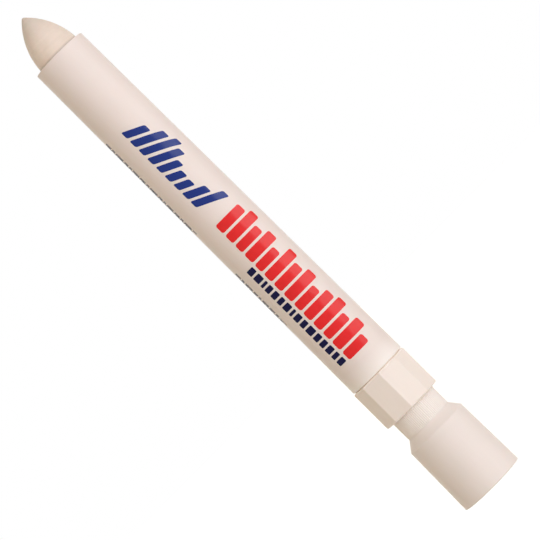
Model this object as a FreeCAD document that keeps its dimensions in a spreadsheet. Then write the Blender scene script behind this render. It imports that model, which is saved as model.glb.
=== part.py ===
# Solid paint marker: a stick of paint that a twist knob feeds out of a tapered barrel.
# Its cap is pushed into the back of the knob, and the marker stands on the cap's open rim.
# Millimetres. Z runs from the rim of the cap up to the nose of the paint.
import FreeCAD
import Part
import Sketcher
import math
import os

# Driving sizes
SIZES = {
    # Stick of paint
    "CrayonDiameter": 11.8,
    "NoseLength": 13.0,
    "NoseTipRadius": 0.6,
    "NoseHomeDepth": 1.2,
    "CrayonBoreGap": 0.3,
    "CrayonBoreEndGap": 0.7,
    "CrayonFootClearance": 0.03,
    # Barrel
    "BarrelLength": 106.6,
    "CrayonClearance": 0.2,
    "BarrelMouthWall": 1.28,
    "BarrelFlare": 0.585,
    "BarrelMouthRound": 0.2,
    "BarrelEndRound": 0.25,
    "GuideDepth": 0.5,
    "GuideWidth": 1.6,
    "GuideEndGap": 0.5,
    # Nine-sided twist knob
    "KnobLength": 11.45,
    "KnobCornerProud": 0.325,
    "KnobCornerAngle": 27.8,
    "KnobCornerRound": 0.5,
    "KnobEndChamfer": 0.25,
    "KnobGap": 0.2,
    "SocketWall": 1.26,
    "SocketEndGap": 0.5,
    "HubStep": 0.6,
    "HubLength": 7.6,
    "HubWall": 1.3,
    "HubLeadIn": 0.5,
    "HubEndGap": 0.3,
    "BeadHeight": 0.25,
    "BeadWidth": 1.0,
    "BeadRamp": 0.3,
    "BeadInset": 1.5,
    "BossDiameter": 8.0,
    "BossHeight": 4.5,
    # Feed screw
    "ScrewDiameter": 6.0,
    "ScrewTopDepth": 11.8,
    "ScrewTopChamfer": 0.8,
    "FeedLead": 4.5,
    "ThreadDepth": 1.1,
    "ThreadOpening": 2.5,
    "ThreadFloor": 1.5,
    "ScrewFlangeThickness": 1.2,
    "FootCornerDiameter": 5.2,
    "FootLength": 4.0,
    "FootEndGap": 0.3,
    # Crayon carrier
    "CarrierFloor": 6.0,
    "CupDepth": 7.0,
    "CupWall": 0.7,
    "CarrierHomeGap": 0.6,
    "ThreadClearance": 0.15,
    "ThreadOverlap": 0.3,
    # Cap
    "CapSkirtLength": 18.75,
    "CapDraft": 0.32,
    "CapMouthClearance": 0.17,
    "CapSkirtWall": 1.2,
    "CapConeHeight": 2.6,
    "CapConeDrop": 0.4,
    "CapShoulderRound": 0.6,
    "CapNeckRound": 1.2,
    "CapRimRound": 0.25,
    "SpigotShowing": 5.4,
    "SpigotDepth": 8.0,
    "SpigotWall": 1.2,
    "SpigotEndWall": 1.2,
    "SpigotEndChamfer": 0.4,
    # Fits
    "RunningClearance": 0.05,
    "SpigotClearance": 0.15,
    "GuideClearance": 0.1,
    "HexClearance": 0.02,
}

# Counts
KNOB_SIDES = 9
FOOT_SIDES = 6
GUIDES = 2
# Whole turns of the knob between the paint drawn in and the paint as shown
TURNS_OUT = 3

# Smallest difference that tells two edges apart
EDGE_TOLERANCE = 1e-4
TURN = 360.0
ON_AXIS = "0"


def cell(alias):
    return "Sizes." + alias


def plus(*terms):
    return "(" + " + ".join(terms) + ")"


def minus(first, *terms):
    return "(" + " - ".join((first,) + terms) + ")"


def times(factor, term):
    return "(%s * %s)" % (factor, term)


def half(term):
    return "(%s / 2)" % term


# Radii that the pieces share
CRAYON_RADIUS = half(cell("CrayonDiameter"))
BORE_RADIUS = plus(CRAYON_RADIUS, cell("CrayonClearance"))
MOUTH_RADIUS = plus(BORE_RADIUS, cell("BarrelMouthWall"))
BARREL_END_RADIUS = plus(MOUTH_RADIUS, cell("BarrelFlare"))
HUB_RADIUS = plus(BORE_RADIUS, cell("HubStep"))
BEAD_RADIUS = plus(HUB_RADIUS, cell("BeadHeight"))
KNOB_CORNER_RADIUS = plus(BARREL_END_RADIUS, cell("KnobCornerProud"))
KNOB_FLAT_RADIUS = times(math.cos(math.pi / KNOB_SIDES), KNOB_CORNER_RADIUS)
SOCKET_RADIUS = minus(KNOB_FLAT_RADIUS, cell("SocketWall"))
SPIGOT_RADIUS = minus(SOCKET_RADIUS, cell("SpigotClearance"))
SPIGOT_BORE_RADIUS = minus(SPIGOT_RADIUS, cell("SpigotWall"))
CAP_RIM_BORE_RADIUS = plus(MOUTH_RADIUS, cell("CapMouthClearance"))
CAP_RIM_RADIUS = plus(CAP_RIM_BORE_RADIUS, cell("CapSkirtWall"))
CAP_SHOULDER_RADIUS = minus(CAP_RIM_RADIUS, cell("CapDraft"))
CAP_SHOULDER_BORE_RADIUS = minus(CAP_SHOULDER_RADIUS, cell("CapSkirtWall"))
SCREW_RADIUS = half(cell("ScrewDiameter"))
SCREW_CORE_RADIUS = minus(SCREW_RADIUS, cell("ThreadDepth"))
CARRIER_RADIUS = minus(BORE_RADIUS, cell("RunningClearance"))
CARRIER_BORE_RADIUS = plus(SCREW_RADIUS, cell("RunningClearance"))
CUP_BORE_RADIUS = minus(CARRIER_RADIUS, cell("CupWall"))
CRAYON_BORE_RADIUS = plus(SCREW_RADIUS, cell("CrayonBoreGap"))
CRAYON_FOOT_RADIUS = minus(CUP_BORE_RADIUS, cell("CrayonFootClearance"))
GUIDE_RADIUS = plus(BORE_RADIUS, cell("GuideDepth"))

# Heights in the marker's own frame
KNOB_BOTTOM = plus(cell("CapSkirtLength"), cell("CapConeHeight"), cell("SpigotShowing"))
KNOB_TOP = plus(KNOB_BOTTOM, cell("KnobLength"))
BARREL_BOTTOM = plus(KNOB_TOP, cell("KnobGap"))
MOUTH = plus(BARREL_BOTTOM, cell("BarrelLength"))
FLANGE_BOTTOM = plus(KNOB_TOP, cell("BossHeight"))
SCREW_TOP = minus(MOUTH, cell("ScrewTopDepth"))
CARRIER_HOME = plus(KNOB_TOP, cell("HubLength"), cell("CarrierHomeGap"))
CARRIER_BOTTOM = plus(CARRIER_HOME, times(TURNS_OUT, cell("FeedLead")))
CRAYON_BOTTOM = plus(CARRIER_BOTTOM, cell("CarrierFloor"))
CRAYON_LENGTH = minus(MOUTH, cell("NoseHomeDepth"), CARRIER_HOME, cell("CarrierFloor"))
# Drawn right in, the side of the bore ends above the screw's chamfer, and its end is a cone beyond that
SCREW_REACH = minus(SCREW_TOP, cell("ScrewTopChamfer"), CARRIER_HOME, cell("CarrierFloor"))
CRAYON_BORE_SIDE = plus(SCREW_REACH, cell("CrayonBoreEndGap"))
CRAYON_BORE_DEPTH = plus(CRAYON_BORE_SIDE, CRAYON_BORE_RADIUS)
COUNTERBORE_DEPTH = plus(minus(cell("HubLength"), cell("KnobGap")), cell("HubEndGap"))
# The thread starts half the ridge's root above the underside of the carrier
RIDGE_START = half(cell("ThreadOpening"))


def make_sheet(doc):
    sheet = doc.addObject("Spreadsheet::Sheet", "Sizes")
    for row, (alias, value) in enumerate(SIZES.items(), start=1):
        sheet.set("A%d" % row, alias)
        sheet.set("B%d" % row, str(value))
        sheet.setAlias("B%d" % row, alias)
    doc.recompute()
    return sheet


def value_of(obj, expression):
    return float(obj.Document.getObject("Sizes").evalExpression(expression))


def new_body(doc, label, bottom):
    body = doc.addObject("PartDesign::Body", label)
    body.Label = label
    body.setExpression("Placement.Base.z", bottom)
    return body


def origin_plane(body, role):
    for feature in body.Origin.OriginFeatures:
        if feature.Role == role:
            return feature
    raise ValueError(role)


def new_sketch(body, name, role="XZ_Plane", height=None):
    sketch = body.newObject("Sketcher::SketchObject", name)
    sketch.AttachmentSupport = [(origin_plane(body, role), "")]
    sketch.MapMode = "FlatFace"
    if height is not None:
        sketch.setExpression("AttachmentOffset.Base.z", height)
    return sketch


def bind(sketch, constraint, expression):
    index = sketch.addConstraint(constraint)
    sketch.setExpression("Constraints[%d]" % index, expression)


def pin_point(sketch, line, end, across, up):
    """Fix one end of a line at a distance across and up from the sketch's origin."""
    if across == ON_AXIS:
        sketch.addConstraint(Sketcher.Constraint("PointOnObject", line, end, -2))
    else:
        distance = value_of(sketch, across)
        bind(sketch, Sketcher.Constraint("DistanceX", -1, 1, line, end, distance), across)
    if up == ON_AXIS:
        sketch.addConstraint(Sketcher.Constraint("PointOnObject", line, end, -1))
    else:
        distance = value_of(sketch, up)
        bind(sketch, Sketcher.Constraint("DistanceY", -1, 1, line, end, distance), up)


def corner(sketch, point):
    return FreeCAD.Vector(value_of(sketch, point[0]), value_of(sketch, point[1]), 0)


def add_outline(sketch, points, closed=True):
    """Draw straight lines through the points, each point fixed by its two distances."""
    ends = list(points[1:]) + (list(points[:1]) if closed else [])
    first = None
    for start, end in zip(points, ends):
        line = sketch.addGeometry(Part.LineSegment(corner(sketch, start), corner(sketch, end)))
        if first is None:
            first = line
        else:
            sketch.addConstraint(Sketcher.Constraint("Coincident", line - 1, 2, line, 1))
        pin_point(sketch, line, 1, *start)
        last = line
    if closed:
        sketch.addConstraint(Sketcher.Constraint("Coincident", last, 2, first, 1))
    else:
        pin_point(sketch, last, 2, *points[-1])
    return first, last


def add_circle(sketch, radius):
    circle = Part.Circle(FreeCAD.Vector(), FreeCAD.Vector(0, 0, 1), value_of(sketch, radius))
    index = sketch.addGeometry(circle)
    sketch.addConstraint(Sketcher.Constraint("Coincident", index, 3, -1, 1))
    bind(sketch, Sketcher.Constraint("Radius", index, circle.Radius), radius)
    return index


def add_polygon(sketch, sides, radius, angle):
    """Draw a regular polygon with its corners on a circle and one corner at an angle."""
    rim = add_circle(sketch, radius)
    sketch.toggleConstruction(rim)
    size = value_of(sketch, radius)
    first_angle = math.radians(value_of(sketch, angle))
    step = 2 * math.pi / sides
    corners = []
    for number in range(sides):
        turn = first_angle + number * step
        corners.append(FreeCAD.Vector(size * math.cos(turn), size * math.sin(turn), 0))
    first = None
    for number in range(sides):
        line = sketch.addGeometry(Part.LineSegment(corners[number], corners[(number + 1) % sides]))
        sketch.addConstraint(Sketcher.Constraint("PointOnObject", line, 1, rim))
        if first is None:
            first = line
        else:
            sketch.addConstraint(Sketcher.Constraint("Coincident", line - 1, 2, line, 1))
            sketch.addConstraint(Sketcher.Constraint("Equal", first, line))
    sketch.addConstraint(Sketcher.Constraint("Coincident", first + sides - 1, 2, first, 1))
    spoke = sketch.addGeometry(Part.LineSegment(FreeCAD.Vector(), corners[0]), True)
    sketch.addConstraint(Sketcher.Constraint("Coincident", spoke, 1, -1, 1))
    sketch.addConstraint(Sketcher.Constraint("Coincident", spoke, 2, first, 1))
    bind(sketch, Sketcher.Constraint("Angle", -1, 1, spoke, 1, first_angle), angle)


def revolve(body, sketch, name):
    feature = body.newObject("PartDesign::Revolution", name)
    feature.Profile = sketch
    feature.ReferenceAxis = (sketch, ["V_Axis"])
    feature.Angle = TURN
    body.Document.recompute()
    return feature


def pad(body, sketch, name, length, downward=False):
    feature = body.newObject("PartDesign::Pad", name)
    feature.Profile = sketch
    feature.setExpression("Length", length)
    feature.Reversed = downward
    body.Document.recompute()
    return feature


def pocket(body, sketch, name, length, upward=False):
    """Cut a pocket, and stop if it took nothing away."""
    before = body.Shape.Volume
    feature = body.newObject("PartDesign::Pocket", name)
    feature.Profile = sketch
    feature.setExpression("Length", length)
    feature.Reversed = upward
    body.Document.recompute()
    if body.Shape.Volume >= before:
        raise ValueError(name + " cuts nothing")
    return feature


def repeat_round(body, sketch, feature, name, count):
    pattern = body.newObject("PartDesign::PolarPattern", name)
    pattern.Originals = [feature]
    pattern.Axis = (sketch, ["N_Axis"])
    pattern.Angle = TURN
    pattern.Occurrences = count
    body.Tip = pattern
    body.Document.recompute()
    return pattern


def helix(body, sketch, kind, name, height):
    feature = body.newObject("PartDesign::" + kind, name)
    feature.Profile = sketch
    feature.ReferenceAxis = (sketch, ["V_Axis"])
    feature.Mode = "pitch-height-angle"
    feature.setExpression("Pitch", cell("FeedLead"))
    feature.setExpression("Height", height)
    feature.LeftHanded = True
    body.Document.recompute()
    return feature


def ring_edges(feature, radius, height):
    """Name the round edges about the axis that have this radius and height."""
    radius = value_of(feature, radius)
    height = value_of(feature, height)
    names = []
    for number, edge in enumerate(feature.Shape.Edges, start=1):
        if not isinstance(edge.Curve, Part.Circle):
            continue
        if abs(edge.Curve.Radius - radius) > EDGE_TOLERANCE:
            continue
        if abs(edge.Curve.Center.z - height) > EDGE_TOLERANCE:
            continue
        names.append("Edge%d" % number)
    return names


def corner_edges(feature, radius):
    """Name the upright edges that lie at this distance from the axis."""
    radius = value_of(feature, radius)
    names = []
    for number, edge in enumerate(feature.Shape.Edges, start=1):
        start, end = edge.firstVertex().Point, edge.lastVertex().Point
        upright = math.hypot(start.x - end.x, start.y - end.y) < EDGE_TOLERANCE < abs(start.z - end.z)
        if upright and abs(math.hypot(start.x, start.y) - radius) < EDGE_TOLERANCE:
            names.append("Edge%d" % number)
    return names


def outer_end_edges(feature, height, inner_radius):
    """Name the edges of an end face that lie outside a radius."""
    height = value_of(feature, height)
    inner_radius = value_of(feature, inner_radius)
    names = []
    for number, edge in enumerate(feature.Shape.Edges, start=1):
        box = edge.BoundBox
        middle = edge.CenterOfMass
        flat = abs(box.ZMin - height) < EDGE_TOLERANCE and abs(box.ZMax - height) < EDGE_TOLERANCE
        if flat and math.hypot(middle.x, middle.y) > inner_radius:
            names.append("Edge%d" % number)
    return names


def soften(body, feature, kind, name, edges, size):
    """Round or chamfer the named edges."""
    if not edges:
        raise ValueError(name + " finds no edge")
    mend = body.newObject("PartDesign::" + kind, name)
    mend.Base = (feature, edges)
    mend.setExpression("Radius" if kind == "Fillet" else "Size", size)
    body.Document.recompute()
    return mend


def make_barrel(doc):
    body = new_body(doc, "barrel", BARREL_BOTTOM)
    length = cell("BarrelLength")
    hub_bore = plus(HUB_RADIUS, cell("RunningClearance"))
    catch = plus(BEAD_RADIUS, cell("RunningClearance"))
    bead_top = minus(cell("HubLength"), cell("KnobGap"), cell("BeadInset"))
    catch_top = plus(bead_top, cell("RunningClearance"))
    bead_bottom = minus(bead_top, cell("BeadWidth"), times(2, cell("BeadRamp")))
    catch_bottom = minus(bead_bottom, cell("RunningClearance"))

    section = new_sketch(body, "BarrelSection")
    add_outline(section, [
        (BARREL_END_RADIUS, ON_AXIS),
        (MOUTH_RADIUS, length),
        (BORE_RADIUS, length),
        (BORE_RADIUS, COUNTERBORE_DEPTH),
        (hub_bore, COUNTERBORE_DEPTH),
        (hub_bore, catch_top),
        (catch, minus(catch_top, cell("BeadRamp"))),
        (catch, plus(catch_bottom, cell("BeadRamp"))),
        (hub_bore, catch_bottom),
        (hub_bore, ON_AXIS),
    ])
    tube = revolve(body, section, "BarrelTube")

    guide_end = plus(minus(SCREW_TOP, BARREL_BOTTOM), cell("GuideEndGap"))
    guide = new_sketch(body, "GuideSlotPlan", "XY_Plane", COUNTERBORE_DEPTH)
    add_bar(guide, half(BORE_RADIUS), GUIDE_RADIUS, cell("GuideWidth"))
    slot = pocket(body, guide, "GuideSlot", minus(guide_end, COUNTERBORE_DEPTH), upward=True)
    slots = repeat_round(body, guide, slot, "GuideSlots", GUIDES)

    mouth = ring_edges(slots, MOUTH_RADIUS, length)
    rounded = soften(body, slots, "Fillet", "MouthRound", mouth, cell("BarrelMouthRound"))
    foot = ring_edges(rounded, BARREL_END_RADIUS, ON_AXIS)
    soften(body, rounded, "Fillet", "EndRound", foot, cell("BarrelEndRound"))
    return body


def add_bar(sketch, inner, outer, width):
    """Draw a rectangle that reaches out along X and is centred on it."""
    inner_size = value_of(sketch, inner)
    outer_size = value_of(sketch, outer)
    side = value_of(sketch, width) / 2
    corners = [
        FreeCAD.Vector(inner_size, -side, 0),
        FreeCAD.Vector(outer_size, -side, 0),
        FreeCAD.Vector(outer_size, side, 0),
        FreeCAD.Vector(inner_size, side, 0),
    ]
    for number in range(4):
        sketch.addGeometry(Part.LineSegment(corners[number], corners[(number + 1) % 4]))
    for number in range(4):
        sketch.addConstraint(Sketcher.Constraint("Coincident", number, 2, (number + 1) % 4, 1))
    for number in (0, 2):
        sketch.addConstraint(Sketcher.Constraint("Horizontal", number))
    sketch.addConstraint(Sketcher.Constraint("Vertical", 1))
    sketch.addConstraint(Sketcher.Constraint("Symmetric", 0, 1, 2, 2, -1))
    bind(sketch, Sketcher.Constraint("DistanceX", -1, 1, 0, 1, inner_size), inner)
    bind(sketch, Sketcher.Constraint("DistanceX", -1, 1, 0, 2, outer_size), outer)
    bind(sketch, Sketcher.Constraint("DistanceY", 1, 1, 1, 2, 2 * side), width)


def make_twist_knob(doc):
    body = new_body(doc, "twist_knob", KNOB_BOTTOM)
    top = cell("KnobLength")
    plan = new_sketch(body, "KnobPlan", "XY_Plane")
    add_polygon(plan, KNOB_SIDES, KNOB_CORNER_RADIUS, cell("KnobCornerAngle"))
    block = pad(body, plan, "KnobBlock", top)
    corners = corner_edges(block, KNOB_CORNER_RADIUS)
    block = soften(body, block, "Fillet", "KnobCorners", corners, cell("KnobCornerRound"))
    ends = outer_end_edges(block, ON_AXIS, HUB_RADIUS) + outer_end_edges(block, top, HUB_RADIUS)
    soften(body, block, "Chamfer", "KnobEnds", ends, cell("KnobEndChamfer"))

    socket = new_sketch(body, "SocketPlan", "XY_Plane")
    add_circle(socket, SOCKET_RADIUS)
    pocket(body, socket, "Socket", plus(cell("SpigotDepth"), cell("SocketEndGap")), upward=True)

    hub_top = plus(top, cell("HubLength"))
    hub_bore = minus(HUB_RADIUS, cell("HubWall"))
    bead_top = minus(hub_top, cell("BeadInset"))
    bead_bottom = minus(bead_top, cell("BeadWidth"), times(2, cell("BeadRamp")))
    hub = new_sketch(body, "HubSection")
    add_outline(hub, [
        (hub_bore, top),
        (HUB_RADIUS, top),
        (HUB_RADIUS, bead_bottom),
        (BEAD_RADIUS, plus(bead_bottom, cell("BeadRamp"))),
        (BEAD_RADIUS, minus(bead_top, cell("BeadRamp"))),
        (HUB_RADIUS, bead_top),
        (HUB_RADIUS, minus(hub_top, cell("HubLeadIn"))),
        (minus(HUB_RADIUS, cell("HubLeadIn")), hub_top),
        (hub_bore, hub_top),
    ])
    revolve(body, hub, "Hub")

    boss = new_sketch(body, "BossPlan", "XY_Plane", top)
    add_circle(boss, half(cell("BossDiameter")))
    pad(body, boss, "Boss", cell("BossHeight"))
    hexagon = new_sketch(body, "HexSocketPlan", "XY_Plane", plus(top, cell("BossHeight")))
    hex_radius = plus(half(cell("FootCornerDiameter")), cell("HexClearance"))
    add_polygon(hexagon, FOOT_SIDES, hex_radius, ON_AXIS)
    pocket(body, hexagon, "HexSocket", plus(cell("FootLength"), cell("FootEndGap")))
    return body


def make_feed_screw(doc):
    body = new_body(doc, "feed_screw", FLANGE_BOTTOM)
    shank_length = minus(SCREW_TOP, FLANGE_BOTTOM)
    flange_radius = half(cell("BossDiameter"))
    section = new_sketch(body, "ScrewSection")
    add_outline(section, [
        (ON_AXIS, ON_AXIS),
        (flange_radius, ON_AXIS),
        (flange_radius, cell("ScrewFlangeThickness")),
        (SCREW_RADIUS, cell("ScrewFlangeThickness")),
        (SCREW_RADIUS, minus(shank_length, cell("ScrewTopChamfer"))),
        (minus(SCREW_RADIUS, cell("ScrewTopChamfer")), shank_length),
        (ON_AXIS, shank_length),
    ])
    revolve(body, section, "Shank")
    foot = new_sketch(body, "FootPlan", "XY_Plane")
    add_polygon(foot, FOOT_SIDES, half(cell("FootCornerDiameter")), ON_AXIS)
    pad(body, foot, "HexFoot", cell("FootLength"), downward=True)

    # The groove starts half a turn below the ridge of the carrier, on the far side of the axis
    start = minus(plus(CARRIER_HOME, RIDGE_START), half(cell("FeedLead")), FLANGE_BOTTOM)
    profile = new_sketch(body, "ThreadGrooveSection")
    beyond = plus(SCREW_RADIUS, cell("ThreadOverlap"))
    slope = "%s / %s" % (minus(cell("ThreadOpening"), cell("ThreadFloor")), cell("ThreadDepth"))
    mouth = plus(cell("ThreadOpening"), cell("ThreadOverlap") + " * " + slope)
    add_thread_section(profile, SCREW_CORE_RADIUS, beyond, cell("ThreadFloor"), mouth, start, -1)
    before = body.Shape.Volume
    climb = plus(minus(shank_length, start), cell("FeedLead"))
    helix(body, profile, "SubtractiveHelix", "ThreadGroove", climb)
    if body.Shape.Volume >= before:
        raise ValueError("ThreadGroove cuts nothing")
    return body


def add_thread_section(sketch, inner, outer, inner_width, outer_width, height, side):
    """Draw a thread's trapezium, centred on a height, to the right or left of the axis."""
    inner_size = value_of(sketch, inner)
    outer_size = value_of(sketch, outer)
    inner_half = value_of(sketch, inner_width) / 2
    outer_half = value_of(sketch, outer_width) / 2
    level = value_of(sketch, height)
    corners = [
        FreeCAD.Vector(side * inner_size, level - inner_half, 0),
        FreeCAD.Vector(side * outer_size, level - outer_half, 0),
        FreeCAD.Vector(side * outer_size, level + outer_half, 0),
        FreeCAD.Vector(side * inner_size, level + inner_half, 0),
    ]
    for number in range(4):
        sketch.addGeometry(Part.LineSegment(corners[number], corners[(number + 1) % 4]))
    for number in range(4):
        sketch.addConstraint(Sketcher.Constraint("Coincident", number, 2, (number + 1) % 4, 1))
    for line, end, across in ((0, 1, inner), (0, 2, outer), (2, 1, outer), (2, 2, inner)):
        ends = (-1, 1, line, end) if side > 0 else (line, end, -1, 1)
        bind(sketch, Sketcher.Constraint("DistanceX", *ends, value_of(sketch, across)), across)
    for line, end, rise in (
        (0, 1, minus(height, half(inner_width))),
        (0, 2, minus(height, half(outer_width))),
        (2, 1, plus(height, half(outer_width))),
        (2, 2, plus(height, half(inner_width))),
    ):
        bind(sketch, Sketcher.Constraint("DistanceY", -1, 1, line, end, value_of(sketch, rise)), rise)


def make_crayon_carrier(doc):
    body = new_body(doc, "crayon_carrier", CARRIER_BOTTOM)
    floor = cell("CarrierFloor")
    height = plus(floor, cell("CupDepth"))
    section = new_sketch(body, "CarrierSection")
    add_outline(section, [
        (CARRIER_BORE_RADIUS, ON_AXIS),
        (CARRIER_RADIUS, ON_AXIS),
        (CARRIER_RADIUS, height),
        (CUP_BORE_RADIUS, height),
        (CUP_BORE_RADIUS, floor),
        (CARRIER_BORE_RADIUS, floor),
    ])
    revolve(body, section, "CarrierCup")

    plan = new_sketch(body, "KeyPlan", "XY_Plane")
    key_width = minus(cell("GuideWidth"), times(2, cell("GuideClearance")))
    key_radius = minus(GUIDE_RADIUS, cell("GuideClearance"))
    add_bar(plan, minus(CARRIER_RADIUS, half(cell("CupWall"))), key_radius, key_width)
    key = pad(body, plan, "Key", floor)
    repeat_round(body, plan, key, "Keys", GUIDES)

    profile = new_sketch(body, "ThreadRidgeSection")
    crest = plus(SCREW_CORE_RADIUS, cell("ThreadClearance"))
    root = plus(CARRIER_BORE_RADIUS, cell("ThreadOverlap"))
    crest_width = minus(cell("ThreadFloor"), cell("ThreadClearance"))
    root_width = minus(cell("ThreadOpening"), times(2, cell("ThreadClearance")))
    add_thread_section(profile, crest, root, crest_width, root_width, RIDGE_START, 1)
    before = body.Shape.Volume
    helix(body, profile, "AdditiveHelix", "ThreadRidge", minus(floor, times(2, RIDGE_START)))
    if body.Shape.Volume <= before:
        raise ValueError("ThreadRidge adds nothing")
    return body


def make_paint_crayon(doc):
    body = new_body(doc, "paint_crayon", CRAYON_BOTTOM)
    section = new_sketch(body, "CrayonSection")
    nose_base = minus(CRAYON_LENGTH, cell("NoseLength"))
    first, side = add_outline(section, [
        (ON_AXIS, CRAYON_BORE_DEPTH),
        (CRAYON_BORE_RADIUS, CRAYON_BORE_SIDE),
        (CRAYON_BORE_RADIUS, ON_AXIS),
        (CRAYON_FOOT_RADIUS, ON_AXIS),
        (CRAYON_FOOT_RADIUS, cell("CupDepth")),
        (CRAYON_RADIUS, cell("CupDepth")),
        (CRAYON_RADIUS, nose_base),
    ], closed=False)

    # The nose is one long arc, tangent to the side, that runs into a small round tip
    radius = value_of(section, CRAYON_RADIUS)
    tip_radius = value_of(section, cell("NoseTipRadius"))
    base = value_of(section, nose_base)
    top = value_of(section, CRAYON_LENGTH)
    rise = top - tip_radius - base
    sweep_radius = (radius ** 2 - tip_radius ** 2 + rise ** 2) / (2 * (radius - tip_radius))
    sweep_centre = FreeCAD.Vector(radius - sweep_radius, base, 0)
    tip_centre = FreeCAD.Vector(0, base + rise, 0)
    normal = FreeCAD.Vector(0, 0, 1)
    join = math.atan2(rise, sweep_radius - radius)
    sweep = Part.ArcOfCircle(Part.Circle(sweep_centre, normal, sweep_radius), 0, join)
    tip = Part.ArcOfCircle(Part.Circle(tip_centre, normal, tip_radius), join, math.pi / 2)
    sweep = section.addGeometry(sweep)
    tip = section.addGeometry(tip)
    section.addConstraint(Sketcher.Constraint("Tangent", side, 2, sweep, 1))
    section.addConstraint(Sketcher.Constraint("Tangent", sweep, 2, tip, 1))
    section.addConstraint(Sketcher.Constraint("PointOnObject", tip, 3, -2))
    section.addConstraint(Sketcher.Constraint("PointOnObject", tip, 2, -2))
    bind(section, Sketcher.Constraint("Radius", tip, tip_radius), cell("NoseTipRadius"))
    bind(section, Sketcher.Constraint("DistanceY", -1, 1, tip, 2, top), CRAYON_LENGTH)
    bore_tip = corner(section, (ON_AXIS, CRAYON_BORE_DEPTH))
    core = section.addGeometry(Part.LineSegment(FreeCAD.Vector(0, top, 0), bore_tip))
    section.addConstraint(Sketcher.Constraint("Coincident", tip, 2, core, 1))
    section.addConstraint(Sketcher.Constraint("Coincident", core, 2, first, 1))
    revolve(body, section, "Stick")
    return body


def make_cap(doc):
    body = new_body(doc, "cap", ON_AXIS)
    skirt = cell("CapSkirtLength")
    neck = plus(skirt, cell("CapConeHeight"))
    end = plus(neck, cell("SpigotShowing"), cell("SpigotDepth"))
    hollow_end = minus(end, cell("SpigotEndWall"))
    section = new_sketch(body, "CapSection")
    add_outline(section, [
        (CAP_RIM_RADIUS, ON_AXIS),
        (CAP_SHOULDER_RADIUS, skirt),
        (SPIGOT_RADIUS, neck),
        (SPIGOT_RADIUS, end),
        (ON_AXIS, end),
        (ON_AXIS, hollow_end),
        (SPIGOT_BORE_RADIUS, hollow_end),
        (SPIGOT_BORE_RADIUS, minus(neck, cell("CapConeDrop"))),
        (CAP_SHOULDER_BORE_RADIUS, minus(skirt, cell("CapConeDrop"))),
        (CAP_RIM_BORE_RADIUS, ON_AXIS),
    ])
    shell = revolve(body, section, "CapShell")
    shoulder = ring_edges(shell, CAP_SHOULDER_RADIUS, skirt)
    shell = soften(body, shell, "Fillet", "ShoulderRound", shoulder, cell("CapShoulderRound"))
    hollow = ring_edges(shell, SPIGOT_RADIUS, neck)
    shell = soften(body, shell, "Fillet", "NeckRound", hollow, cell("CapNeckRound"))
    rim = ring_edges(shell, CAP_RIM_RADIUS, ON_AXIS) + ring_edges(shell, CAP_RIM_BORE_RADIUS, ON_AXIS)
    shell = soften(body, shell, "Fillet", "RimRound", rim, cell("CapRimRound"))
    nose = ring_edges(shell, SPIGOT_RADIUS, end)
    soften(body, shell, "Chamfer", "SpigotLeadIn", nose, cell("SpigotEndChamfer"))
    return body


def check(doc, bodies):
    """Stop if anything in the model has failed."""
    for obj in doc.Objects:
        for state in ("Invalid", "Error"):
            if state in obj.State:
                raise RuntimeError("%s is %s" % (obj.Label, state))
    for body in bodies:
        shape = body.Shape
        if shape.isNull() or not shape.isValid() or len(shape.Solids) != 1:
            raise RuntimeError(body.Label + " is not one sound solid")


def main():
    doc = FreeCAD.newDocument("PaintMarker")
    make_sheet(doc)
    bodies = [
        make_barrel(doc),
        make_twist_knob(doc),
        make_feed_screw(doc),
        make_crayon_carrier(doc),
        make_paint_crayon(doc),
        make_cap(doc),
    ]
    doc.recompute()
    check(doc, bodies)
    os.makedirs("parts", exist_ok=True)
    for body in bodies:
        body.Shape.exportStep("parts/%s.step" % body.Label)
        box = body.Shape.BoundBox
        print("%-15s z %.2f to %.2f, %.1f mm3" % (body.Label, box.ZMin, box.ZMax, body.Shape.Volume))


main()
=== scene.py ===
# Looks of the solid paint marker: finishes, print and neck ribs around the fixed model.
# Metres, in the model's own frame: Z runs from the cap's rim up to the nose of the paint.
import math

import bmesh
import bpy
from mathutils import Matrix, Vector


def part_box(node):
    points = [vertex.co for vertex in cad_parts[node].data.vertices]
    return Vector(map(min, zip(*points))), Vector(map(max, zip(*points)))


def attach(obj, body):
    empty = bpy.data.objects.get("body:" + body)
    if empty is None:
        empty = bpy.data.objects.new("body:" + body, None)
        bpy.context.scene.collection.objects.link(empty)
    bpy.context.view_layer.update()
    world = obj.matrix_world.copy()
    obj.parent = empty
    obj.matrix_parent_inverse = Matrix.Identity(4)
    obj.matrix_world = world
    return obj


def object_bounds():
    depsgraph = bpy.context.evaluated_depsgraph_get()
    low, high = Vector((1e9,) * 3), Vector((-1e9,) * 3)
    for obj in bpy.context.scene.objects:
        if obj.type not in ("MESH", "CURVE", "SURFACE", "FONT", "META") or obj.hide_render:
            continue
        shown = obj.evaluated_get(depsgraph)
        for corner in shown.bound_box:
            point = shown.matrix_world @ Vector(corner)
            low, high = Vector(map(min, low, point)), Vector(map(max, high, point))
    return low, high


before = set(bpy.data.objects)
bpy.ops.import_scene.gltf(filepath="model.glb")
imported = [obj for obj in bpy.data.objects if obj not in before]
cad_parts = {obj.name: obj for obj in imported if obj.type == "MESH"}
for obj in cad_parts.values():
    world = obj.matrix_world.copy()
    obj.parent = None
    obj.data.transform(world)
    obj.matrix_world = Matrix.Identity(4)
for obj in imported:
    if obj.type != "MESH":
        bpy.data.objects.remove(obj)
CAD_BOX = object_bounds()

MM = 0.001
BODY_OF = {
    "barrel": "barrel_body",
    "cap": "cap_body",
}

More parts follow.
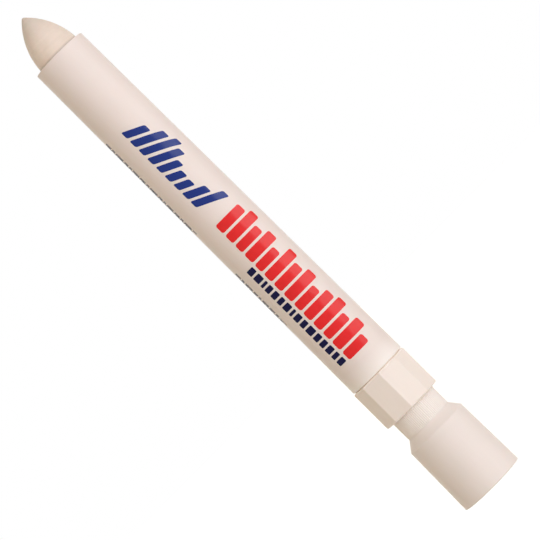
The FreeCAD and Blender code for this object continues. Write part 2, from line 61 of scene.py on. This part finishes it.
# Camera: level, 0.88 m off along -Y, rolled so that the marker lies across the picture
CAMERA_DISTANCE = 879.5 * MM
CAMERA_SIDE = -1.03 * MM
CAMERA_HEIGHT = 73.35 * MM
CAMERA_ROLL = math.radians(45.24)
PICTURE_WIDTH = 128.41 * MM
SENSOR_WIDTH = 36.0

# Light: a warm fill all round, soft lights in the sky, and one long softbox on the right.
# Each soft light is a colour, an azimuth from -Y towards +X, a height in degrees and a narrowness.
SKY_FILL = (0.256, 0.159, 0.004)
SKY_LIGHTS = {
    "front": ((1.875, 1.883, 1.823), 20.0, 0.0, 2.0),
    "back": ((1.037, 1.14, 1.246), 200.0, 0.0, 2.0),
    "cool key": ((0.0, 0.368, 1.026), 30.0, 0.0, 4.0),
    "rear": ((1.4, 1.4, 1.35), 172.0, 10.0, 8.0),
    "top": ((0.0, 0.05, 0.12), 0.0, 90.0, 4.0),
}
WHITE = (1.0, 1.0, 1.0, 1.0)
STRIP_RADIANCE = 4.17
STRIP_AZIMUTH = math.radians(58.0)
STRIP_DISTANCE = 2.5
STRIP_WIDTH = 2.66
STRIP_HEIGHT = 0.45
# Light needs many bounces to get out of a narrow gap between pale pieces
DIFFUSE_BOUNCES = 16
MAX_BOUNCES = 24

# The floor lies below the pulled cap, whose travel is 20 mm
FLOOR_DROP = 21.0 * MM
FLOOR_RADIUS = 3.0
FLOOR_SEGMENTS = 96
FLOOR_COLOUR = (0.82, 0.82, 0.82, 1.0)
FLOOR_GLOW = 0.6

# Noises: scale, detail and roughness of each
CLOUD = (70.0, 3.0, 0.5)
FLOW = (900.0, 2.0, 0.5)
GRAIN = (5200.0, 2.0, 0.5)
MOTTLE = (260.0, 4.0, 0.6)
FINE_MOTTLE = (2600.0, 3.0, 0.5)
RINGS = (110.0, 2.0, 0.5)
INK_LAY = (1100.0, 1.0, 0.5)
INK_PATCH = (180.0, 2.0, 0.5)
# Where a noise begins and ends to change a tint
TINT_FROM = 0.3
TINT_TO = 0.7

# Plastics: linear colour and roughness of each
PLASTICS = {
    "barrel_plastic": ((0.845, 0.722, 0.674), 0.26),
    "knob_plastic": ((0.915, 0.795, 0.728), 0.30),
    "cap_plastic": ((0.857, 0.750, 0.702), 0.30),
    # The neck is the cap's plastic made paler: a painted light for the light its fine ribs gather
    "neck_plastic_painted_light": ((0.90, 0.794, 0.74), 0.34),
    "screw_plastic": ((0.80, 0.76, 0.68), 0.40),
    "carrier_plastic": ((0.80, 0.76, 0.68), 0.40),
}
PLASTIC_BODY = {
    "Specular IOR Level": 0.14,
    "IOR": 1.5,
    "Subsurface Weight": 0.06,
    "Subsurface Scale": 0.6 * MM,
}
PLASTIC_TINTS = (0.975, 1.015)
CLOUD_SHARE = 0.65
FLOW_STRETCH = 0.12
# How far the roughness varies below and above its own value
SMOOTHER = 0.04
ROUGHER = 0.06
CLOUD_DEPTH = 0.06 * MM
FLOW_DEPTH = 0.004 * MM
GRAIN_DEPTH = 0.0012 * MM
# The barrel's end by the knob is paler, and plastic inside a narrow gap is painted paler too, a
# painted light for the light that comes through the thin plastic
PALE_LENGTH = 4.8 * MM
PALE_CLEAR = 0.5 * MM
PALE_COLOUR = (0.93, 0.835, 0.785)
GAP_LIGHT_REACH = 0.5 * MM
GAP_LIGHT_SAMPLES = 4
GAP_PAINTED_LIGHT = (1.0, 0.93, 0.87)
GAP_LIGHT_GAIN = 2.0

# Solid paint
PAINT_COLOUR = (0.82, 0.675, 0.58)
PAINT_BODY = {
    "IOR": 1.45,
    "Subsurface Weight": 0.15,
    "Subsurface Scale": 1.0 * MM,
}
PAINT_TINTS = (0.92, 1.045)
PAINT_ROUGHNESS = (0.42, 0.58)
MOTTLE_SHARE = 0.7
MOTTLE_DEPTH = 0.13 * MM
FINE_MOTTLE_DEPTH = 0.010 * MM
RING_STRETCH = 14.0
RING_DEPTH = 0.05 * MM
# Pits: flat within the floor's share of a cell, then rising over the wall's share
PIT_SCALE = 900.0
PIT_FLOOR = 0.16
PIT_WALL = 0.12
PIT_DEPTH = 0.03 * MM
# The paint is darker towards the tip of the nose, a painted shade where less light falls, and
# darker where it enters the barrel's mouth, a painted shade of the gap
TIP_SHADE_LENGTH = 7.6 * MM
TIP_SHADE_CLEAR = 1.2 * MM
TIP_PAINTED_SHADE = 0.82
# Painted shade at the mouth: how far occlusion is sought, its samples, and the darkest share of the
# colour
SEAM_SHADE_REACH = 0.9 * MM
SEAM_SHADE_SAMPLES = 16
SEAM_PAINTED_SHADE = 0.2

# Inks: linear colour and specular level of each
INKS = {
    "red_ink": ((0.78, 0.010, 0.010), 0.25),
    "blue_ink": ((0.003, 0.023, 0.207), 0.25),
    "navy_ink": ((0.004, 0.004, 0.053), 0.11),
    "fine_ink": ((0.05, 0.045, 0.06), 0.25),
}
INK_IOR = 1.5
INK_TINTS = (0.94, 1.05)
INK_ROUGHNESS = (0.16, 0.24)
LAY_SHARE = 0.5
PATCH_DEPTH = 0.004 * MM

# Print, drawn flat and wrapped on the barrel. A point is (along, up) in millimetres:
# along runs from a start height towards the knob, up runs round the barrel from its front line.
INK_STEP = 0.35
INK_PROUD = 0.02 * MM
INK_SUNK = 0.03 * MM
CUT_TOLERANCE = 1e-5
LARGE_CORNER_STEPS = 6

# Blue strokes: foot, top and width of each
BLUE_START = 121.3 * MM
BLUE_LOW = -2.95
BLUE_STROKES = (
    (0.2, 2.6, 2.0),
    (3.0, 5.0, 2.1),
    (5.9, 6.2, 2.0),
    (8.8, 4.6, 2.1),
    (11.7, 2.2, 2.0),
    (14.6, 1.0, 2.1),
    (17.5, 0.8, 2.0),
    (20.4, 2.4, 2.1),
    (23.2, 4.8, 2.0),
)
BLUE_LEAN = 0.48
BLUE_CORNER = 0.45

# Red blocks: width and height of each
RED_START = 89.8 * MM
RED_LOW = -2.85
RED_BLOCKS = (
    (2.6, 8.0),
    (2.6, 9.5),
    (2.4, 7.2),
    (2.8, 8.8),
    (2.4, 6.4),
    (2.6, 9.5),
    (2.6, 7.6),
    (2.8, 9.0),
    (2.4, 6.6),
    (2.6, 8.4),
    (2.6, 9.5),
    (2.4, 7.0),
    (2.8, 8.8),
    (2.6, 6.4),
)
RED_GAP = 0.66
RED_CORNER = 0.6

# Navy dashes: width of each
NAVY_START = 76.9 * MM
NAVY_LOW = -5.85
NAVY_HEIGHT = 2.3
NAVY_DASHES = (1.6, 1.9, 0.8, 1.4, 1.5, 1.3, 1.7, 0.8, 1.6, 1.4, 2.0, 1.5, 1.4, 1.6, 1.2, 1.5)
NAVY_GAP = 0.55
NAVY_CORNER = 0.25
NAVY_CORNER_STEPS = 3

# Fine rows: start height, length and place round the barrel of each
FINE_ROWS = (
    (122.0 * MM, 31.0, -9.75),
    (122.0 * MM, 29.0, -10.4),
    (121.4 * MM, 30.0, -11.05),
    (78.5 * MM, 17.0, -9.75),
    (78.5 * MM, 18.5, -10.4),
    (77.0 * MM, 15.5, -11.05),
)
FINE_HEIGHT = 0.42
FINE_DASHES = (1.7, 0.9, 2.4, 1.3, 0.8, 2.1)
FINE_GAP = 0.38
FINE_CORNER = 0.08
FINE_CORNER_STEPS = 2

# Fine grip ribs on the cap's narrow neck
RIB_COUNT = 88
RIB_POINTS = 10
RIB_VALLEY = 0.004 * MM
RIB_HEIGHT = 0.09 * MM
RIB_SUNK = 0.2 * MM
RIB_RUNOUT = 0.35 * MM
RIBS_BELOW_KNOB = 5.35 * MM
RIBS_BELOW_TOP = 0.6 * MM

# How far from a height a ring's vertices may lie, on the barrel and on the neck below its top
RING_REACH = 0.6 * MM
NECK_DEPTH = 1.0 * MM
NECK_REACH = 0.9 * MM


def ring_radius(node, height, reach):
    """Outer radius of a round node near a height, from its mesh."""
    radii = [
        math.hypot(vertex.co.x, vertex.co.y)
        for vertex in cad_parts[node].data.vertices
        if abs(vertex.co.z - height) < reach
    ]
    return max(radii)


NOSE_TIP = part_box("paint_crayon")[1].z
BARREL_LOW, BARREL_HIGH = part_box("barrel")
BARREL_END_RADIUS = ring_radius("barrel", BARREL_LOW.z, RING_REACH)
BARREL_MOUTH_RADIUS = ring_radius("barrel", BARREL_HIGH.z, RING_REACH)
BARREL_MEAN_RADIUS = (BARREL_END_RADIUS + BARREL_MOUTH_RADIUS) / 2


def barrel_radius(height):
    share = (height - BARREL_LOW.z) / (BARREL_HIGH.z - BARREL_LOW.z)
    return BARREL_END_RADIUS + share * (BARREL_MOUTH_RADIUS - BARREL_END_RADIUS)


def link(obj):
    bpy.context.scene.collection.objects.link(obj)
    return obj


class Nodes:
    """The node tree of a world or material, with short calls for adding nodes and links."""

    def __init__(self, owner):
        owner.use_nodes = True
        self.tree = owner.node_tree
        self.tree.nodes.clear()

    def add(self, kind, inputs=None, **settings):
        node = self.tree.nodes.new(kind)
        for name, value in settings.items():
            setattr(node, name, value)
        for key, value in (inputs or {}).items():
            if isinstance(value, bpy.types.NodeSocket):
                self.tree.links.new(value, node.inputs[key])
            else:
                node.inputs[key].default_value = value
        return node

    def math(self, operation, *values, clamp=False):
        inputs = dict(enumerate(values))
        return self.add("ShaderNodeMath", inputs, operation=operation, use_clamp=clamp).outputs[0]

    def scaled(self, colour, amount):
        """A colour times a number that varies."""
        inputs = {0: colour, 3: amount}
        return self.add("ShaderNodeVectorMath", inputs, operation="SCALE").outputs[0]


def make_camera():
    data = bpy.data.cameras.new("camera")
    data.sensor_width = SENSOR_WIDTH
    data.lens = SENSOR_WIDTH * CAMERA_DISTANCE / PICTURE_WIDTH
    camera = link(bpy.data.objects.new("camera", data))
    up = Vector((math.sin(CAMERA_ROLL), 0, math.cos(CAMERA_ROLL)))
    right = Vector((math.cos(CAMERA_ROLL), 0, -math.sin(CAMERA_ROLL)))
    back = Vector((0, -1, 0))
    turn = Matrix((right, up, back)).transposed().to_4x4()
    place = Vector((CAMERA_SIDE, -CAMERA_DISTANCE, CAMERA_HEIGHT))
    camera.matrix_world = Matrix.Translation(place) @ turn
    bpy.context.scene.camera = camera


def seen_directly(nodes):
    """1 for rays that show the background itself, straight, mirrored or through something."""
    path = nodes.add("ShaderNodeLightPath")
    seen = nodes.math("MAXIMUM", path.outputs["Is Camera Ray"], path.outputs["Is Glossy Ray"])
    return nodes.math("MAXIMUM", seen, path.outputs["Is Transmission Ray"])


def soft_light(nodes, direction, azimuth, height, narrowness):
    """1 in the middle of a soft light in the sky, falling to 0 square to it."""
    turn, lift = math.radians(azimuth), math.radians(height)
    facing = (math.cos(lift) * math.sin(turn), -math.cos(lift) * math.cos(turn), math.sin(lift))
    inputs = {0: direction, 1: facing}
    along = nodes.add("ShaderNodeVectorMath", inputs, operation="DOT_PRODUCT").outputs["Value"]
    return nodes.math("POWER", nodes.math("MAXIMUM", along, 0.0), narrowness)


def make_world():
    """A sky of soft lights that looks plain white where it is seen."""
    world = bpy.data.worlds.new("studio")
    bpy.context.scene.world = world
    nodes = Nodes(world)
    direction = nodes.add("ShaderNodeTexCoord").outputs["Generated"]
    total = SKY_FILL
    for colour, azimuth, height, narrowness in SKY_LIGHTS.values():
        light = nodes.scaled(colour, soft_light(nodes, direction, azimuth, height, narrowness))
        total = nodes.add("ShaderNodeVectorMath", {0: total, 1: light}).outputs[0]
    soft = nodes.add("ShaderNodeBackground", {"Color": total}).outputs[0]
    white = nodes.add("ShaderNodeBackground", {"Color": WHITE}).outputs[0]
    seen = seen_directly(nodes)
    mix = nodes.add("ShaderNodeMixShader", {0: seen, 1: soft, 2: white}).outputs[0]
    nodes.add("ShaderNodeOutputWorld", {"Surface": mix})


def make_strip_light():
    data = bpy.data.lights.new("strip_light", "AREA")
    data.shape = "RECTANGLE"
    data.size = STRIP_WIDTH
    data.size_y = STRIP_HEIGHT
    data.energy = STRIP_RADIANCE * math.pi * STRIP_WIDTH * STRIP_HEIGHT
    lamp = link(bpy.data.objects.new("strip_light", data))
    towards = Vector((math.sin(STRIP_AZIMUTH), -math.cos(STRIP_AZIMUTH), 0))
    place = towards * STRIP_DISTANCE + Vector((0, 0, CAMERA_HEIGHT))
    turn = towards.to_track_quat("Z", "Y").to_matrix().to_4x4()
    lamp.matrix_world = Matrix.Translation(place) @ turn


def new_material(name):
    material = bpy.data.materials.new(name)
    return material, Nodes(material)


def make_floor():
    """A plain pale floor that a view from below looks through."""
    mesh = bpy.data.meshes.new("floor")
    shape = bmesh.new()
    bmesh.ops.create_circle(shape, cap_ends=True, radius=FLOOR_RADIUS, segments=FLOOR_SEGMENTS)
    shape.to_mesh(mesh)
    shape.free()
    floor = link(bpy.data.objects.new("floor", mesh))
    floor.location.z = CAD_BOX[0][2] - FLOOR_DROP
    material, nodes = new_material("floor")
    plain = nodes.add("ShaderNodeBsdfDiffuse", {"Color": FLOOR_COLOUR}).outputs[0]
    strength = nodes.math("MULTIPLY", seen_directly(nodes), FLOOR_GLOW)
    glow = nodes.add("ShaderNodeEmission", {"Color": WHITE, "Strength": strength}).outputs[0]
    both = nodes.add("ShaderNodeAddShader", {0: plain, 1: glow}).outputs[0]
    clear = nodes.add("ShaderNodeBsdfTransparent").outputs[0]
    below = nodes.add("ShaderNodeNewGeometry").outputs["Backfacing"]
    shown = nodes.add("ShaderNodeMixShader", {0: below, 1: both, 2: clear}).outputs[0]
    nodes.add("ShaderNodeOutputMaterial", {"Surface": shown})
    mesh.materials.append(material)


def noise(nodes, place, kind):
    scale, detail, roughness = kind
    inputs = {"Vector": place, "Scale": scale, "Detail": detail, "Roughness": roughness}
    return nodes.add("ShaderNodeTexNoise", inputs).outputs[0]


def stretched(nodes, place, along):
    """Coordinates scaled along Z, so that a noise drawn on them runs in streaks or rings."""
    return nodes.add("ShaderNodeMapping", {"Vector": place, "Scale": (1.0, 1.0, along)}).outputs[0]


def mixture(nodes, first, second, share):
    """Two numbers mixed, with this share of the first."""
    shares = nodes.math("MULTIPLY", first, share), nodes.math("MULTIPLY", second, 1.0 - share)
    return nodes.math("ADD", *shares)


def ranged(nodes, value, low, high, start=0.0, end=1.0):
    """Low where the value is at the start, going over to high at the end."""
    inputs = {"Value": value, "From Min": start, "From Max": end, "To Min": low, "To Max": high}
    return nodes.add("ShaderNodeMapRange", inputs).outputs[0]


def tinted(nodes, colour, tints, amount):
    """The colour times the first tint where the amount is low, and times the second where high."""
    ramp = nodes.add("ShaderNodeValToRGB", {0: amount})
    for stop, position, tint in zip(ramp.color_ramp.elements, (TINT_FROM, TINT_TO), tints):
        stop.color = (*[tint * part for part in colour], 1.0)
        stop.position = position
    return ramp.outputs["Color"]


def blended(nodes, amount, first, second):
    """The first colour where the amount is 0, going over to the fixed second one where it is 1."""
    inputs = {0: amount, 6: first, 7: (*second, 1.0)}
    return nodes.add("ShaderNodeMix", inputs, data_type="RGBA").outputs[2]


def openness(nodes, reach, samples):
    """1 on a free surface, falling towards 0 where others close it in within reach."""
    inputs = {"Distance": reach}
    return nodes.add("ShaderNodeAmbientOcclusion", inputs, samples=samples).outputs["AO"]


def bumped(nodes, *layers):
    """Bumps laid over each other, each a height that varies and how deep it goes."""
    normal = {}
    for height, depth in layers:
        inputs = {"Height": height, "Distance": depth, "Strength": 1.0, **normal}
        normal = {"Normal": nodes.add("ShaderNodeBump", inputs).outputs[0]}
    return normal["Normal"]


def finished(material, nodes, body, base, rough, normal):
    """A material with one surface: fixed numbers for its body, and looks that vary."""
    inputs = {"Base Color": base, "Roughness": rough, "Normal": normal, **body}
    shader = nodes.add("ShaderNodeBsdfPrincipled", inputs).outputs[0]
    nodes.add("ShaderNodeOutputMaterial", {"Surface": shader})
    return material


def moulded_plastic(name, pale_end=None):
    """White moulded plastic: slight clouding, flow streaks along Z and a fine mould grain.

    Narrow gaps get a paler colour, a painted light for the light that comes through its thin edges."""
    colour, roughness = PLASTICS[name]
    material, nodes = new_material(name)
    place = nodes.add("ShaderNodeTexCoord").outputs["Object"]
    cloud = noise(nodes, place, CLOUD)
    flow = noise(nodes, stretched(nodes, place, FLOW_STRETCH), FLOW)
    grain = noise(nodes, place, GRAIN)
    base = tinted(nodes, colour, PLASTIC_TINTS, mixture(nodes, cloud, flow, CLOUD_SHARE))
    if pale_end is not None:
        height = nodes.add("ShaderNodeSeparateXYZ", {0: place}).outputs["Z"]
        paler = ranged(nodes, height, 0.0, 1.0, pale_end + PALE_LENGTH, pale_end + PALE_CLEAR)
        base = blended(nodes, paler, base, PALE_COLOUR)
    # Painted light: where other pieces close the plastic in within reach, its colour goes over to
    # the pale gap colour
    closed = nodes.math("SUBTRACT", 1.0, openness(nodes, GAP_LIGHT_REACH, GAP_LIGHT_SAMPLES))
    closed = nodes.math("MULTIPLY", closed, GAP_LIGHT_GAIN, clamp=True)
    base = blended(nodes, closed, base, GAP_PAINTED_LIGHT)
    uneven = nodes.math("ADD", flow, grain)
    rough = ranged(nodes, uneven, roughness - SMOOTHER, roughness + ROUGHER)
    layers = (cloud, CLOUD_DEPTH), (flow, FLOW_DEPTH), (grain, GRAIN_DEPTH)
    return finished(material, nodes, PLASTIC_BODY, base, rough, bumped(nodes, *layers))


def solid_paint(name):
    """Waxy paint: mottling, faint rings and small pits, with painted shade darkening the tip of the
    nose and the paint at the barrel's mouth.
    """
    material, nodes = new_material(name)
    place = nodes.add("ShaderNodeTexCoord").outputs["Object"]
    mottle = noise(nodes, place, MOTTLE)
    fine = noise(nodes, place, FINE_MOTTLE)
    rings = noise(nodes, stretched(nodes, place, RING_STRETCH), RINGS)
    cells = nodes.add("ShaderNodeTexVoronoi", {"Vector": place, "Scale": PIT_SCALE})
    pits = nodes.math("SUBTRACT", cells.outputs["Distance"], PIT_FLOOR, clamp=True)
    pits = nodes.math("MINIMUM", pits, PIT_WALL)
    base = tinted(nodes, PAINT_COLOUR, PAINT_TINTS, mixture(nodes, mottle, rings, MOTTLE_SHARE))
    height = nodes.add("ShaderNodeSeparateXYZ", {0: place}).outputs["Z"]
    # Painted shade: the paint's colour darkens towards the tip of the nose, where less light falls
    # on it
    start, end = NOSE_TIP - TIP_SHADE_LENGTH, NOSE_TIP - TIP_SHADE_CLEAR
    tip_shade = ranged(nodes, height, 1.0, TIP_PAINTED_SHADE, start, end)
    # Painted shade: the paint's colour darkens where the barrel's mouth closes it in
    seam_shade = ranged(nodes, openness(nodes, SEAM_SHADE_REACH, SEAM_SHADE_SAMPLES), SEAM_PAINTED_SHADE, 1.0)
    base = nodes.scaled(base, nodes.math("MULTIPLY", tip_shade, seam_shade))
    rough = ranged(nodes, fine, *PAINT_ROUGHNESS)
    layers = (
        (mottle, MOTTLE_DEPTH),
        (rings, RING_DEPTH),
        (fine, FINE_MOTTLE_DEPTH),
        (pits, PIT_DEPTH),
    )
    return finished(material, nodes, PAINT_BODY, base, rough, bumped(nodes, *layers))


def printed_ink(name):
    """Glossy ink with a slightly uneven lay."""
    colour, specular = INKS[name]
    material, nodes = new_material(name)
    place = nodes.add("ShaderNodeTexCoord").outputs["Object"]
    lay = noise(nodes, place, INK_LAY)
    patch = noise(nodes, place, INK_PATCH)
    base = tinted(nodes, colour, INK_TINTS, mixture(nodes, lay, patch, LAY_SHARE))
    rough = ranged(nodes, lay, *INK_ROUGHNESS)
    body = {"Specular IOR Level": specular, "IOR": INK_IOR}
    return finished(material, nodes, body, base, rough, bumped(nodes, (patch, PATCH_DEPTH)))


def finish_nodes():
    """Give each carried-over piece its finish."""
    finishes = {
        "barrel": moulded_plastic("barrel_plastic", pale_end=BARREL_LOW.z),
        "twist_knob": moulded_plastic("knob_plastic"),
        "cap": moulded_plastic("cap_plastic"),
        "feed_screw": moulded_plastic("screw_plastic"),
        "crayon_carrier": moulded_plastic("carrier_plastic"),
        "paint_crayon": solid_paint("solid_paint"),
    }
    for node, material in finishes.items():
        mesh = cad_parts[node].data
        mesh.materials.clear()
        mesh.materials.append(material)


def cut_flat(outlines):
    """Flat outlines cut into strips that bend well: their points, their faces and their rim."""
    shape = bmesh.new()
    for outline in outlines:
        shape.faces.new([shape.verts.new((along, up, 0)) for along, up in outline])
    lowest = min(up for outline in outlines for along, up in outline)
    highest = max(up for outline in outlines for along, up in outline)
    for number in range(1, int((highest - lowest) / INK_STEP) + 1):
        plane = {"plane_co": (0, lowest + number * INK_STEP, 0), "plane_no": (0, 1, 0)}
        everything = shape.verts[:] + shape.edges[:] + shape.faces[:]
        bmesh.ops.bisect_plane(shape, geom=everything, dist=CUT_TOLERANCE, **plane)
    bmesh.ops.recalc_face_normals(shape, faces=shape.faces)
    shape.verts.index_update()
    flat = [(vertex.co.x, vertex.co.y) for vertex in shape.verts]
    faces = [[vertex.index for vertex in face.verts] for face in shape.faces]
    rim = [[vertex.index for vertex in edge.verts] for edge in shape.edges if edge.is_boundary]
    shape.free()
    return flat, faces, rim


def wrapped(start, along, up, lift):
    """The place on the barrel, lifted off it, of a point of the flat print."""
    height = start - along * MM
    radius = barrel_radius(height) + lift
    angle = up * MM / BARREL_MEAN_RADIUS
    return Vector((radius * math.sin(angle), -radius * math.cos(angle), height))


def print_shapes(name, outlines, start, material):
    """Wrap flat outlines on the barrel as one thin closed skin of ink."""
    flat, outside, rim = cut_flat(outlines)
    count = len(flat)
    points = [wrapped(start, along, up, INK_PROUD) for along, up in flat]
    points += [wrapped(start, along, up, -INK_SUNK) for along, up in flat]
    inside = [[index + count for index in reversed(face)] for face in outside]
    sides = [[first, second, second + count, first + count] for first, second in rim]
    mesh = bpy.data.meshes.new(name)
    mesh.from_pydata(points, [], outside + inside + sides)
    skin = bmesh.new()
    skin.from_mesh(mesh)
    bmesh.ops.recalc_face_normals(skin, faces=skin.faces)
    skin.to_mesh(mesh)
    skin.free()
    mesh.materials.append(material)
    piece = link(bpy.data.objects.new(name, mesh))
    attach(piece, BODY_OF["barrel"])


def rounded_block(left, right, low, high, corner, steps, slant=0.0):
    """An upright block with round corners. Slant moves its top back along the line of print."""
    outline = []
    centres = (
        (right - corner, low + corner, -90),
        (right - corner, high - corner, 0),
        (left + corner, high - corner, 90),
        (left + corner, low + corner, 180),
    )
    for along, up, start in centres:
        for step in range(steps + 1):
            turn = math.radians(start + 90.0 * step / steps)
            x = along + corner * math.cos(turn)
            y = up + corner * math.sin(turn)
            outline.append((x + slant * (y - low), y))
    return outline


def block_row(blocks, low, gap, corner, steps):
    """Blocks side by side. Each is a width and a height."""
    row = []
    along = 0.0
    for width, height in blocks:
        row.append(rounded_block(along, along + width, low, low + height, corner, steps))
        along += width + gap
    return row


def fine_row(length, low):
    """Small dashes that repeat until the length is full."""
    dashes = []
    used = 0.0
    for number in range(int(length)):
        width = FINE_DASHES[number % len(FINE_DASHES)]
        if used + width > length:
            break
        dashes.append((width, FINE_HEIGHT))
        used += width + FINE_GAP
    return block_row(dashes, low, FINE_GAP, FINE_CORNER, FINE_CORNER_STEPS)


def print_barrel():
    red = printed_ink("red_ink")
    blue = printed_ink("blue_ink")
    navy = printed_ink("navy_ink")
    fine = printed_ink("fine_ink")

    strokes = [
        rounded_block(foot, foot + width, BLUE_LOW, top, BLUE_CORNER, LARGE_CORNER_STEPS, BLUE_LEAN)
        for foot, top, width in BLUE_STROKES
    ]
    print_shapes("print_blue_strokes", strokes, BLUE_START, blue)

    blocks = block_row(RED_BLOCKS, RED_LOW, RED_GAP, RED_CORNER, LARGE_CORNER_STEPS)
    print_shapes("print_red_blocks", blocks, RED_START, red)

    dashes = [(width, NAVY_HEIGHT) for width in NAVY_DASHES]
    dashes = block_row(dashes, NAVY_LOW, NAVY_GAP, NAVY_CORNER, NAVY_CORNER_STEPS)
    print_shapes("print_navy_dashes", dashes, NAVY_START, navy)

    for number, (start, length, low) in enumerate(FINE_ROWS, start=1):
        print_shapes("print_fine_row_%d" % number, fine_row(length, low), start, fine)


def neck_loop(height, radius, ribs):
    """Points round the neck at one height, with ribs that stand this far out of the radius."""
    loop = []
    around = RIB_COUNT * RIB_POINTS
    for number in range(around):
        angle = 2 * math.pi * number / around
        wave = 0.5 + 0.5 * math.cos(RIB_COUNT * angle)
        reach = radius + ribs * wave
        loop.append((reach * math.cos(angle), reach * math.sin(angle), height))
    return loop


def make_neck_ribs(material):
    """A ring of fine upright ribs that runs from the round at the cone up into the knob."""
    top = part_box("cap")[1].z
    neck = ring_radius("cap", top - NECK_DEPTH, NECK_REACH)
    knob_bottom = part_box("twist_knob")[0].z
    low = knob_bottom - RIBS_BELOW_KNOB
    high = top - RIBS_BELOW_TOP
    valley = neck + RIB_VALLEY
    inside = neck - RIB_SUNK
    loops = (
        neck_loop(low, valley, 0.0),
        neck_loop(low + RIB_RUNOUT, valley, RIB_HEIGHT),
        neck_loop(high - RIB_RUNOUT, valley, RIB_HEIGHT),
        neck_loop(high, valley, 0.0),
        neck_loop(high, inside, 0.0),
        neck_loop(low, inside, 0.0),
    )
    points = [point for loop in loops for point in loop]
    around = RIB_COUNT * RIB_POINTS
    faces = []
    for loop in range(len(loops)):
        this, following = loop * around, (loop + 1) % len(loops) * around
        for number in range(around):
            beside = (number + 1) % around
            faces.append((this + number, this + beside, following + beside, following + number))
    mesh = bpy.data.meshes.new("neck_ribs")
    mesh.from_pydata(points, [], faces)
    mesh.materials.append(material)
    for polygon in mesh.polygons:
        polygon.use_smooth = True
    ribs = link(bpy.data.objects.new("neck_ribs", mesh))
    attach(ribs, BODY_OF["cap"])


bpy.context.scene.view_settings.view_transform = "Standard"
bpy.context.scene.cycles.diffuse_bounces = DIFFUSE_BOUNCES
bpy.context.scene.cycles.max_bounces = MAX_BOUNCES
make_camera()
make_world()
make_strip_light()
make_floor()
finish_nodes()
print_barrel()
# The ribs wear the cap's plastic painted paler, a painted light
make_neck_ribs(moulded_plastic("neck_plastic_painted_light"))
